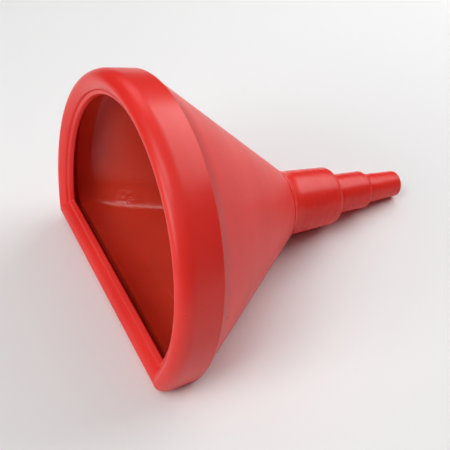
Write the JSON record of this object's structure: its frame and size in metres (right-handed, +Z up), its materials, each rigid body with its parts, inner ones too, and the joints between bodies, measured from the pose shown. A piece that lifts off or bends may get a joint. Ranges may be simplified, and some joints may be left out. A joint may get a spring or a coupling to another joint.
{
  "type": "funnel",
  "caption": "D-shaped pouring funnel with a rolled splash rim, a cone with one flat side and a stepped spout, holding a lift-out gauze strainer.",
  "frame": {"origin": "on the ground, below the middle of the funnel's length and width, as it lies on its flat side", "axes": "+Z up, +X from the mouth towards the spout tip along the ground, +Y along the rim's flat side. The funnel's own axis lies in the XZ plane and runs 11.28 degrees below +X."},
  "size_m": [0.286, 0.25, 0.1862],
  "materials": {
    "red_plastic": "satin to glossy moulded polyethylene",
    "dark_plastic": "matte moulded",
    "brass_gauze": "woven wire",
    "steel_wire": "drawn wire"
  },
  "bodies": {
    "funnel": {"splash_rim": "red_plastic", "bowl": "red_plastic", "spout": "red_plastic"},
    "strainer": {"strainer_ring": "dark_plastic", "strainer_gauze": "brass_gauze"},
    "bail": {"strainer_bail": "steel_wire"}
  },
  "joints": [
    {"name": "strainer_lift", "type": "slide", "parent": "funnel", "child": "strainer", "axis": [-0.9807, 0, 0.1956], "range_m": [0, 0.2]},
    {"name": "bail_hinge", "type": "hinge", "parent": "strainer", "child": "bail", "pos_m": [0.00685, 0, 0.03781], "axis": [0, 1, 0], "range_deg": [0, 180]}
  ]
}
